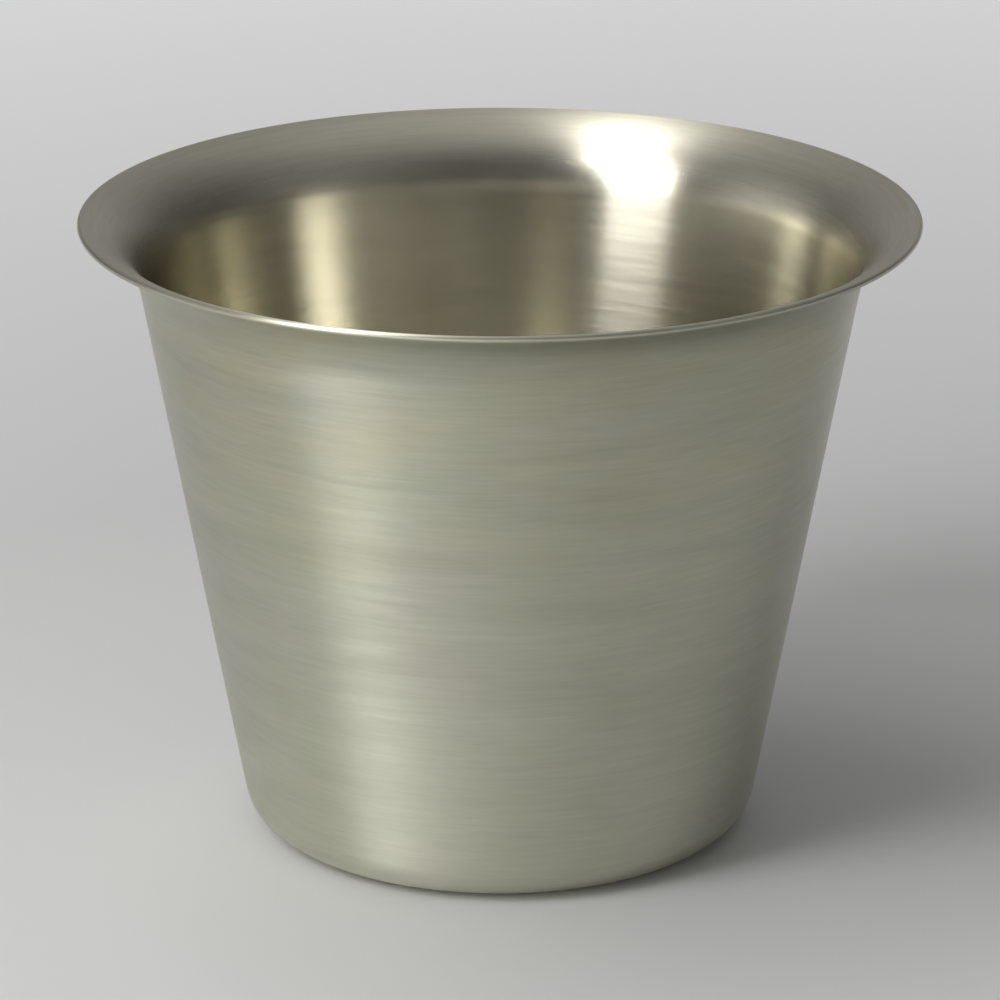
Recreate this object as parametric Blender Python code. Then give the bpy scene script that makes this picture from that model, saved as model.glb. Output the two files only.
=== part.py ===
"""A flared steel beaker, drawn in one piece from a disc of stainless sheet.

Its section is a flat base, a rounded bottom corner, a straight tapering wall and a lip that
flares outwards and ends in a rounded edge. The beaker stands on z = 0, with its axis on Z.
Lengths are metres.
"""

import math

import bpy

# Driving dimensions
HEIGHT = 0.0607
RIM_RADIUS = 0.040
BASE_FLAT_RADIUS = 0.0205
SHEET = 0.0006
CORNER_RADIUS = 0.0045  # outer side of the bottom corner
FLARE_RADIUS = 0.0077  # underside of the lip
LIP_LEAN = math.radians(75)  # from the vertical, at the edge of the lip

# Fineness of the surface
TURN_STEPS = 72
CORNER_STEPS = 6
FLARE_STEPS = 10
EDGE_STEPS = 4
MERGE_DISTANCE = 0.00001

# Finish
STEEL_COLOUR = (0.60, 0.585, 0.53, 1.0)
STEEL_ROUGHNESS = 0.3

# A lean is the angle between the section's tangent and the vertical.
FLAT = math.radians(90)


def clear_scene():
    for leftover in list(bpy.data.objects):
        bpy.data.objects.remove(leftover, do_unlink=True)


def bend(centre, radius, start, end, steps, inward=False):
    """Points of an arc whose lean goes from start to end.

    The arc bulges outwards from its centre, or inwards, towards the beaker's axis.
    """
    reach = -radius if inward else radius
    points = []
    for step in range(steps + 1):
        lean = start + (end - start) * step / steps
        points.append((centre[0] + reach * math.cos(lean), centre[1] - reach * math.sin(lean)))
    return points


def corner_centre():
    return BASE_FLAT_RADIUS, CORNER_RADIUS


def edge_centre():
    """The middle of the sheet where it ends, half a sheet inside the rim and the top."""
    return RIM_RADIUS - SHEET / 2, HEIGHT - SHEET / 2


def flare_centre():
    edge_radius, edge_height = edge_centre()
    middle = FLARE_RADIUS + SHEET / 2
    return edge_radius + middle * math.cos(LIP_LEAN), edge_height - middle * math.sin(LIP_LEAN)


def wall_lean():
    """The lean of the straight wall that runs on smoothly from the corner into the flare."""
    across = flare_centre()[0] - corner_centre()[0]
    up = flare_centre()[1] - corner_centre()[1]
    return math.atan2(across, up) - math.asin((CORNER_RADIUS + FLARE_RADIUS) / math.hypot(across, up))


def section():
    """The section's outline, up the inner side, round the edge and down the outer side."""
    lean = wall_lean()
    inner_corner = bend(corner_centre(), CORNER_RADIUS - SHEET, FLAT, lean, CORNER_STEPS)
    inner_flare = bend(flare_centre(), FLARE_RADIUS + SHEET, lean, LIP_LEAN, FLARE_STEPS, inward=True)
    edge = bend(edge_centre(), SHEET / 2, LIP_LEAN - math.pi, LIP_LEAN, EDGE_STEPS)
    outer_flare = bend(flare_centre(), FLARE_RADIUS, LIP_LEAN, lean, FLARE_STEPS, inward=True)
    outer_corner = bend(corner_centre(), CORNER_RADIUS, lean, FLAT, CORNER_STEPS)
    inner_side = [(0.0, SHEET)] + inner_corner + inner_flare
    outer_side = outer_flare + outer_corner + [(0.0, 0.0)]
    return inner_side + edge[1:-1] + outer_side


def turned(name, outline):
    """An outline of (radius, height) points turned about Z into one closed solid."""
    mesh = bpy.data.meshes.new(name)
    points = [(radius, 0.0, height) for radius, height in outline]
    mesh.from_pydata(points, [(place, place + 1) for place in range(len(points) - 1)], [])
    solid = bpy.data.objects.new(name, mesh)
    bpy.context.scene.collection.objects.link(solid)
    turn = solid.modifiers.new("Turn", "SCREW")
    turn.axis = "Z"
    turn.angle = math.tau
    turn.steps = TURN_STEPS
    turn.render_steps = TURN_STEPS
    turn.use_merge_vertices = True
    turn.merge_threshold = MERGE_DISTANCE
    turn.use_smooth_shade = True
    return solid


def brushed_steel():
    steel = bpy.data.materials.new("brushed_steel")
    steel.use_nodes = True
    shader = steel.node_tree.nodes["Principled BSDF"]
    shader.inputs["Base Color"].default_value = STEEL_COLOUR
    shader.inputs["Metallic"].default_value = 1.0
    shader.inputs["Roughness"].default_value = STEEL_ROUGHNESS
    return steel


def main():
    clear_scene()
    beaker = turned("beaker_shell", section())
    beaker.data.materials.append(brushed_steel())


main()
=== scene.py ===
"""Looks of the flared steel beaker: brushed steel, a pale floor, soft light and the photograph's view."""

import math

import bpy
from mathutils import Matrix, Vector


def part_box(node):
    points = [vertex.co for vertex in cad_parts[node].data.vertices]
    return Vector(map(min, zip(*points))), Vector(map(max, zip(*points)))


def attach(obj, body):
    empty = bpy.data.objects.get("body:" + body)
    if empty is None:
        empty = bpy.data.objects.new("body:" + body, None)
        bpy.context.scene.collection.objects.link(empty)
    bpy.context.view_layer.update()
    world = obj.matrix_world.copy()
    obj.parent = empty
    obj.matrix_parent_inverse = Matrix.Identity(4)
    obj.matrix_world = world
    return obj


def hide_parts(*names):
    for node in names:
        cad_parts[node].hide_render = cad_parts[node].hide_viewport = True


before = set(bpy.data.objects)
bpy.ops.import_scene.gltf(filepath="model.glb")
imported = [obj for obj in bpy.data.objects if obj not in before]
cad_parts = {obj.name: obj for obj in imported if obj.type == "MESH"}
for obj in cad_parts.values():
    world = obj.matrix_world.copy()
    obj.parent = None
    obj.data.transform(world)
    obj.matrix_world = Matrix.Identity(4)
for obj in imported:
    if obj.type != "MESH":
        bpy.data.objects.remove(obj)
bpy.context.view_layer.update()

# Sizes of the beaker, in metres. The rim and the height come from the frame's box.
NODE = "beaker_shell"
LOW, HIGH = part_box(NODE)
RIM_RADIUS = HIGH.x
HEIGHT = HIGH.z
BASE_FLAT_RADIUS = 0.0205
SHEET = 0.0006
CORNER_RADIUS = 0.0045
FLARE_RADIUS = 0.0077
LIP_LEAN = math.radians(75)
FLAT = math.radians(90)

# Fineness of the visible mesh
TURN_STEPS = 288
BASE_STEPS = 16
CORNER_STEPS = 20
WALL_STEPS = 48
FLARE_STEPS = 40
EDGE_STEPS = 12
INSIDE = "inner_side"

# Tones of the steel
BLACK = (0.0, 0.0, 0.0)
OUTER_STEEL = (0.49, 0.473, 0.409)
MOTTLED_STEEL = (0.457, 0.479, 0.364)
SMUDGED_STEEL = (0.487, 0.47, 0.35)
# Painted light: the inside is the same steel as the outside, given a lighter and warmer colour
INNER_STEEL_PAINTED_LIGHTER = (0.64, 0.612, 0.506)

# Marks of the brushing, as noise cells for each metre up the section and each radian round the axis,
# and clouds in cells for each metre. Nearer to the axis than the least radius, the marks run together.
FINE_LINES = (4500.0, 7.0)
COARSE_LINES = (1400.0, 3.0)
BANDS = (220.0, 1.2)
SMUDGES = (110.0, 2.2)
CLOUDS = 90.0
LEAST_RADIUS = 0.0002

# How far the marks and the height change the tone, as shares of it, and where the clouds mottle it
# and the smudges lie
LINE_TONE = (0.82, 1.18)
BAND_TONE = (-0.12, 0.12)
# Painted light and shade by height: the steel is lighter towards the base, and outside darker near the
# top
OUTER_PAINTED_HEIGHT_LIGHT = (0.26, -0.11)
INNER_PAINTED_HEIGHT_LIGHT = (0.1, 0.0)
MOTTLE = (-0.2, 1.2)
SMUDGE_START = (0.4, 0.62)
SMUDGED_PART = (0.42 * HEIGHT, 0.74 * HEIGHT)

# Roughness: the inside keeps more of the drawing punch's polish than the brushed outside
ANISOTROPY = 0.85
QUARTER_TURN = 0.25
OUTER_ROUGHNESS = (0.38, 0.32)
INNER_ROUGHNESS = 0.235
LIP_ROUGHNESS = 0.42
WORN_LIP = 0.007
WEAR_CURVE = 2.0
OUTER_LINE_ROUGHNESS = 0.05
OUTER_CLOUD_ROUGHNESS = 0.03
INNER_LINE_ROUGHNESS = 0.03
INNER_CLOUD_ROUGHNESS = 0.01
LINE_DEPTH = 0.00001
OUTER_BUMP = 0.15
INNER_BUMP = 0.19

# The photograph's view
VIEW_LEAN = math.radians(18.96)
VIEW_DISTANCE = 13 * RIM_RADIUS
AIM_RAISE = 0.0017
AIM_HEIGHT = HEIGHT / 2 + AIM_RAISE
SENSOR = 36.0
LENS = 193.8
NEAREST_SEEN = 0.01

# Studio, in metres, with azimuths counted from the camera's side towards its right
WHITE = (1.0, 1.0, 1.0, 1.0)
FLOOR_RADIUS = 3.0
FLOOR_STEPS = 96
FLOOR_ROUGHNESS = 0.6
# Painted light: the floor is painted paler away from the beaker, where the lamps light it less
FLOOR_GREY = 0.7
FAR_FLOOR_GREY = 0.8
NEAR_FLOOR = 0.1
FAR_FLOOR = 0.4
BACKGROUND_GLOW = 0.35
LAMP_DISTANCE = 0.5
FRONT_LAMP_DISTANCE = 1.5
ROOM_GREY = 0.06

# Soft lamps: azimuth and height of the middle, width and length, all in degrees as seen from the beaker,
# then radiance and distance
LAMPS = {
    "low": (-49, 17, 22, 30, 4.0, LAMP_DISTANCE),
    "key": (-52, 46, 20, 29, 6.9, LAMP_DISTANCE),
    "top": (-108, 74, 34, 11, 3.8, LAMP_DISTANCE),
    "front left": (-27, 4, 26, 8, 3.9, FRONT_LAMP_DISTANCE),
    "front": (-5, 4, 22, 8, 2.5, FRONT_LAMP_DISTANCE),
    "front right": (16, 4, 24, 8, 1.1, FRONT_LAMP_DISTANCE),
}

# Dim glows of the room: azimuth and height of the middle in degrees, sharpness and radiance
GLOWS = {
    "left": (-96, 8, 11, 0.58),
    "right": (60, 18, 8, 0.14),
    "back": (180, 15, 6, 0.25),
    "ceiling": (180, 78, 4, 0.55),
}


def bend(centre, radius, start, end, steps, inward=False):
    """Points of an arc whose lean, its tangent's angle from the vertical, goes from start to end."""
    reach = -radius if inward else radius
    points = []
    for step in range(steps + 1):
        lean = start + (end - start) * step / steps
        points.append((centre[0] + reach * math.cos(lean), centre[1] - reach * math.sin(lean)))
    return points


def straight(start, end, steps):
    """Points between start and end, without either of them."""
    points = []
    for step in range(1, steps):
        share = step / steps
        points.append((start[0] + (end[0] - start[0]) * share, start[1] + (end[1] - start[1]) * share))
    return points


def side_of_sheet(corner, flare, lean, corner_radius, flare_radius, base_height):
    """One side of the sheet, from the middle of the base up to the end of the lip."""
    corner_points = bend(corner, corner_radius, FLAT, lean, CORNER_STEPS)
    flare_points = bend(flare, flare_radius, lean, LIP_LEAN, FLARE_STEPS, inward=True)
    base_points = straight((0.0, base_height), corner_points[0], BASE_STEPS)
    wall_points = straight(corner_points[-1], flare_points[0], WALL_STEPS)
    return base_points + corner_points + wall_points + flare_points


def section():
    """The section's outline, up the inner side, round the edge and down the outer side."""
    edge_centre = (RIM_RADIUS - SHEET / 2, HEIGHT - SHEET / 2)
    middle = FLARE_RADIUS + SHEET / 2
    flare = (edge_centre[0] + middle * math.cos(LIP_LEAN), edge_centre[1] - middle * math.sin(LIP_LEAN))
    corner = (BASE_FLAT_RADIUS, CORNER_RADIUS)
    across, up = flare[0] - corner[0], flare[1] - corner[1]
    lean = math.atan2(across, up) - math.asin((CORNER_RADIUS + FLARE_RADIUS) / math.hypot(across, up))
    inner = side_of_sheet(corner, flare, lean, CORNER_RADIUS - SHEET, FLARE_RADIUS + SHEET, SHEET)
    outer = side_of_sheet(corner, flare, lean, CORNER_RADIUS, FLARE_RADIUS, 0.0)
    edge = bend(edge_centre, SHEET / 2, LIP_LEAN - math.pi, LIP_LEAN, EDGE_STEPS)
    return inner + edge[1:-1] + outer[::-1]


def mark_inside(mesh, outline):
    """A value on each point: 1 on the inner side and 0 on the outer, with a ramp round the edge."""
    edge_start = BASE_STEPS - 1 + CORNER_STEPS + 1 + WALL_STEPS - 1 + FLARE_STEPS
    values = [1.0, 0.0]
    for ring in range(len(outline)):
        share = 1.0 - min(max((ring - edge_start) / EDGE_STEPS, 0.0), 1.0)
        values += [share] * TURN_STEPS
    mesh.attributes.new(INSIDE, "FLOAT", "POINT").data.foreach_set("value", values)


def turned(name, outline, inner_height, outer_height):
    """An outline of (radius, height) points turned about Z, closed on the axis at each end."""
    points = [(0.0, 0.0, inner_height), (0.0, 0.0, outer_height)]
    for radius, height in outline:
        for step in range(TURN_STEPS):
            turn = math.tau * step / TURN_STEPS
            points.append((radius * math.cos(turn), radius * math.sin(turn), height))
    faces = []
    last_ring = len(outline) - 1
    for step in range(TURN_STEPS):
        beside = (step + 1) % TURN_STEPS
        faces.append((0, 2 + step, 2 + beside))
        for ring in range(last_ring):
            below, above = 2 + ring * TURN_STEPS, 2 + (ring + 1) * TURN_STEPS
            faces.append((below + step, above + step, above + beside, below + beside))
        end = 2 + last_ring * TURN_STEPS
        faces.append((1, end + beside, end + step))
    mesh = bpy.data.meshes.new(name)
    mesh.from_pydata(points, [], faces)
    mesh.shade_smooth()
    mark_inside(mesh, outline)
    piece = bpy.data.objects.new(name, mesh)
    bpy.context.scene.collection.objects.link(piece)
    return piece


class Nodes:
    """Short calls for adding and linking nodes in one material or world."""

    def __init__(self, tree):
        self.tree = tree

    def add(self, kind, **settings):
        node = self.tree.nodes.new(kind)
        for name, value in settings.items():
            setattr(node, name, value)
        return node

    def link(self, source, target):
        self.tree.links.new(source, target)

    def math(self, operation, first, second=None):
        """One sum of one or two values, each a socket or a number."""
        node = self.add("ShaderNodeMath", operation=operation)
        for socket, value in zip(node.inputs, (first, second)):
            if isinstance(value, bpy.types.NodeSocket):
                self.link(value, socket)
            elif value is not None:
                socket.default_value = value
        return node.outputs[0]

    def combine(self, x, y, z):
        node = self.add("ShaderNodeCombineXYZ")
        for socket, value in zip(node.inputs, (x, y, z)):
            self.link(value, socket)
        return node.outputs[0]

    def noise(self, vector, scale=1.0, detail=2.0):
        node = self.add("ShaderNodeTexNoise")
        node.inputs["Scale"].default_value = scale
        node.inputs["Detail"].default_value = detail
        self.link(vector, node.inputs["Vector"])
        return node.outputs["Fac"]

    def blend(self, factor, first, second):
        """A colour between two colours, each a socket or three values."""
        node = self.add("ShaderNodeMix", data_type="RGBA", clamp_factor=False)
        self.link(factor, node.inputs["Factor"])
        for name, colour in (("A", first), ("B", second)):
            if isinstance(colour, bpy.types.NodeSocket):
                self.link(colour, node.inputs[name])
            else:
                node.inputs[name].default_value = (*colour, 1.0)
        return node.outputs["Result"]

    def share(self, value, start, end):
        """How far a value is from start to end, from 0 to 1."""
        node = self.add("ShaderNodeMapRange")
        node.inputs["From Min"].default_value = start
        node.inputs["From Max"].default_value = end
        self.link(value, node.inputs["Value"])
        return node.outputs["Result"]

    def between(self, factor, first, second):
        """A value between two values."""
        node = self.add("ShaderNodeMix", data_type="FLOAT")
        self.link(factor, node.inputs["Factor"])
        self.link(first, node.inputs["A"])
        self.link(second, node.inputs["B"])
        return node.outputs["Result"]

    def spread(self, value, low, high):
        """A 0 to 1 value spread evenly from low to high."""
        node = self.add("ShaderNodeMapRange")
        node.inputs["To Min"].default_value = low
        node.inputs["To Max"].default_value = high
        self.link(value, node.inputs["Value"])
        return node.outputs["Result"]


def new_material(name):
    material = bpy.data.materials.new(name)
    material.use_nodes = True
    nodes = Nodes(material.node_tree)
    return material, nodes, material.node_tree.nodes["Principled BSDF"]


def find_marks(nodes, place, x, y, z):
    """The noises of the brushing by name, all but the clouds drawn out round the axis."""
    square = nodes.math("ADD", nodes.math("MULTIPLY", x, x), nodes.math("MULTIPLY", y, y))
    radius = nodes.math("SQRT", square)
    safe_radius = nodes.math("MAXIMUM", radius, LEAST_RADIUS)
    along = nodes.math("ADD", radius, z)
    across_x = nodes.math("DIVIDE", x, safe_radius)
    across_y = nodes.math("DIVIDE", y, safe_radius)

    def rings(per_metre, around):
        turn_x = nodes.math("MULTIPLY", across_x, around)
        turn_y = nodes.math("MULTIPLY", across_y, around)
        return nodes.combine(turn_x, turn_y, nodes.math("MULTIPLY", along, per_metre))

    return {
        "fine": nodes.noise(rings(*FINE_LINES)),
        "coarse": nodes.noise(rings(*COARSE_LINES), detail=3.0),
        "bands": nodes.noise(rings(*BANDS)),
        "smudges": nodes.noise(rings(*SMUDGES), detail=3.0),
        "clouds": nodes.noise(place, CLOUDS, detail=3.0),
    }


def steel_tone(nodes, marks, inside, z, up_the_wall):
    """The steel's colour: mottled and smudged outside, painted lighter inside, changed by its brush
    lines, and painted lighter towards the base.
    """
    outer_tone = nodes.blend(nodes.spread(marks["clouds"], *MOTTLE), OUTER_STEEL, MOTTLED_STEEL)
    smudges = nodes.share(marks["smudges"], *SMUDGE_START)
    smudged = nodes.math("MULTIPLY", smudges, nodes.share(z, *SMUDGED_PART))
    outer_tone = nodes.blend(smudged, outer_tone, SMUDGED_STEEL)
    # Painted light: the inside gets a lighter, warmer copy of the steel's colour
    sides_with_painted_light = nodes.blend(inside, outer_tone, INNER_STEEL_PAINTED_LIGHTER)
    half_fine = nodes.math("MULTIPLY", marks["fine"], 0.5)
    half_coarse = nodes.math("MULTIPLY", marks["coarse"], 0.5)
    lines = nodes.math("ADD", half_fine, half_coarse)
    # Painted light and shade by height: lighter towards the base, and outside darker near the top
    outer_painted_height_light = nodes.spread(up_the_wall, *OUTER_PAINTED_HEIGHT_LIGHT)
    inner_painted_height_light = nodes.spread(up_the_wall, *INNER_PAINTED_HEIGHT_LIGHT)
    painted_height_light = nodes.between(inside, outer_painted_height_light, inner_painted_height_light)
    marks_and_painted_light = nodes.math("ADD", nodes.spread(lines, *LINE_TONE), painted_height_light)
    marks_and_painted_light = nodes.math("ADD", marks_and_painted_light, nodes.spread(marks["bands"], *BAND_TONE))
    return nodes.blend(marks_and_painted_light, BLACK, sides_with_painted_light)


def steel_roughness(nodes, marks, inside, z, up_the_wall):
    """The steel's roughness: uneven along the brush lines, and higher up the worn lip's upper side."""

    def unevenness(mark, reach):
        return nodes.spread(marks[mark], -reach, reach)

    outer_rough = nodes.spread(up_the_wall, *OUTER_ROUGHNESS)
    up_the_lip = nodes.math("POWER", nodes.share(z, HEIGHT - WORN_LIP, HEIGHT), WEAR_CURVE)
    inner_rough = nodes.spread(up_the_lip, INNER_ROUGHNESS, LIP_ROUGHNESS)
    side_rough = nodes.between(inside, outer_rough, inner_rough)
    outer_lines = unevenness("coarse", OUTER_LINE_ROUGHNESS)
    outer_clouds = unevenness("clouds", OUTER_CLOUD_ROUGHNESS)
    inner_lines = unevenness("coarse", INNER_LINE_ROUGHNESS)
    inner_clouds = unevenness("clouds", INNER_CLOUD_ROUGHNESS)
    calmer = nodes.share(z, HEIGHT - WORN_LIP, HEIGHT - WORN_LIP / 2)
    inner_uneven = nodes.between(calmer, inner_lines, inner_clouds)
    uneven = nodes.between(inside, nodes.math("ADD", outer_lines, outer_clouds), inner_uneven)
    return nodes.math("ADD", side_rough, uneven)


def brushed_steel():
    """Stainless steel with fine brushing that runs round the axis."""
    material, nodes, shader = new_material("brushed_steel")
    place = nodes.add("ShaderNodeTexCoord").outputs["Object"]
    split = nodes.add("ShaderNodeSeparateXYZ")
    nodes.link(place, split.inputs[0])
    x, y, z = split.outputs
    marks = find_marks(nodes, place, x, y, z)
    inside = nodes.add("ShaderNodeAttribute", attribute_name=INSIDE).outputs["Fac"]
    up_the_wall = nodes.share(z, 0.0, HEIGHT)

    shader.inputs["Metallic"].default_value = 1.0
    shader.inputs["Anisotropic"].default_value = ANISOTROPY
    shader.inputs["Anisotropic Rotation"].default_value = QUARTER_TURN
    tangent = nodes.add("ShaderNodeTangent", direction_type="RADIAL", axis="Z")
    nodes.link(tangent.outputs[0], shader.inputs["Tangent"])
    nodes.link(steel_tone(nodes, marks, inside, z, up_the_wall), shader.inputs["Base Color"])
    nodes.link(steel_roughness(nodes, marks, inside, z, up_the_wall), shader.inputs["Roughness"])

    bump = nodes.add("ShaderNodeBump")
    nodes.link(nodes.spread(inside, OUTER_BUMP, INNER_BUMP), bump.inputs["Strength"])
    bump.inputs["Distance"].default_value = LINE_DEPTH
    nodes.link(marks["coarse"], bump.inputs["Height"])
    nodes.link(bump.outputs[0], shader.inputs["Normal"])
    return material


def build_beaker():
    beaker = turned("beaker", section(), SHEET, 0.0)
    beaker.data.materials.append(brushed_steel())
    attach(beaker, "root")
    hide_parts(NODE)


def pale_floor():
    """A pale matt grey, painted paler away from the beaker where the lamps light it less."""
    material, nodes, shader = new_material("pale_floor")
    place = nodes.add("ShaderNodeTexCoord").outputs["Object"]
    length = nodes.add("ShaderNodeVectorMath", operation="LENGTH")
    nodes.link(place, length.inputs[0])
    away = nodes.share(length.outputs["Value"], NEAR_FLOOR, FAR_FLOOR)
    nodes.link(nodes.spread(away, FLOOR_GREY, FAR_FLOOR_GREY), shader.inputs["Base Color"])
    path = nodes.add("ShaderNodeLightPath").outputs
    seen = nodes.math("MAXIMUM", path["Is Camera Ray"], path["Is Glossy Ray"])
    seen = nodes.math("MAXIMUM", seen, path["Is Transmission Ray"])
    glow = nodes.math("MULTIPLY", seen, nodes.spread(away, 0.0, BACKGROUND_GLOW))
    shader.inputs["Emission Color"].default_value = WHITE
    nodes.link(glow, shader.inputs["Emission Strength"])
    shader.inputs["Roughness"].default_value = FLOOR_ROUGHNESS
    return material


def build_floor():
    """A round floor that the beaker stands on."""
    points = [(0.0, 0.0, 0.0)]
    for step in range(FLOOR_STEPS):
        turn = math.tau * step / FLOOR_STEPS
        points.append((FLOOR_RADIUS * math.cos(turn), FLOOR_RADIUS * math.sin(turn), 0.0))
    faces = [(0, 1 + step, 1 + (step + 1) % FLOOR_STEPS) for step in range(FLOOR_STEPS)]
    mesh = bpy.data.meshes.new("floor")
    mesh.from_pydata(points, [], faces)
    mesh.materials.append(pale_floor())
    floor = bpy.data.objects.new("floor", mesh)
    bpy.context.scene.collection.objects.link(floor)


def on_sphere(azimuth, height, distance):
    """A point at a distance from the origin, its azimuth counted from the camera's side."""
    level = distance * math.cos(height)
    return level * math.sin(azimuth), -level * math.cos(azimuth), distance * math.sin(height)


def aim(thing, place, target):
    """Puts a lamp or camera at a place, pointing at the target."""
    thing.location = place
    direction = Vector(target) - Vector(place)
    thing.rotation_euler = direction.to_track_quat("-Z", "Y").to_euler()


def add_lamps():
    """Soft lamps round the beaker, each given by how it looks from there."""
    for name, (azimuth, height, width, length, radiance, distance) in LAMPS.items():
        lamp = bpy.data.lights.new(name, "AREA")
        lamp.shape = "RECTANGLE"
        lamp.size = 2 * distance * math.tan(math.radians(width / 2))
        lamp.size_y = 2 * distance * math.tan(math.radians(length / 2))
        lamp.energy = radiance * math.pi * lamp.size * lamp.size_y
        holder = bpy.data.objects.new(name, lamp)
        bpy.context.scene.collection.objects.link(holder)
        holder.visible_camera = False
        place = on_sphere(math.radians(azimuth), math.radians(height), distance)
        aim(holder, place, (0.0, 0.0, HEIGHT / 2))


def add_room():
    """A dim room with a few soft glows, the largest of them on the ceiling behind the beaker."""
    world = bpy.data.worlds.new("studio")
    bpy.context.scene.world = world
    world.use_nodes = True
    nodes = Nodes(world.node_tree)
    direction = nodes.add("ShaderNodeTexCoord").outputs["Generated"]
    total = ROOM_GREY
    for azimuth, height, sharpness, radiance in GLOWS.values():
        nearness = nodes.add("ShaderNodeVectorMath", operation="DOT_PRODUCT")
        nodes.link(direction, nearness.inputs[0])
        nearness.inputs[1].default_value = on_sphere(math.radians(azimuth), math.radians(height), 1.0)
        lobe = nodes.math("POWER", nodes.math("MAXIMUM", nearness.outputs["Value"], 0.0), sharpness)
        total = nodes.math("ADD", total, nodes.math("MULTIPLY", lobe, radiance))
    background = world.node_tree.nodes["Background"]
    background.inputs["Color"].default_value = WHITE
    nodes.link(total, background.inputs["Strength"])


def place_camera():
    """The photograph's camera."""
    camera = bpy.data.cameras.new("camera")
    camera.sensor_width = SENSOR
    camera.lens = LENS
    camera.clip_start = NEAREST_SEEN
    holder = bpy.data.objects.new("camera", camera)
    bpy.context.scene.collection.objects.link(holder)
    x, y, z = on_sphere(0.0, VIEW_LEAN, VIEW_DISTANCE)
    aim(holder, (x, y, z + HEIGHT / 2), (0.0, 0.0, AIM_HEIGHT))
    bpy.context.scene.camera = holder


bpy.context.scene.view_settings.view_transform = "Standard"
place_camera()
build_floor()
build_beaker()
add_lamps()
add_room()
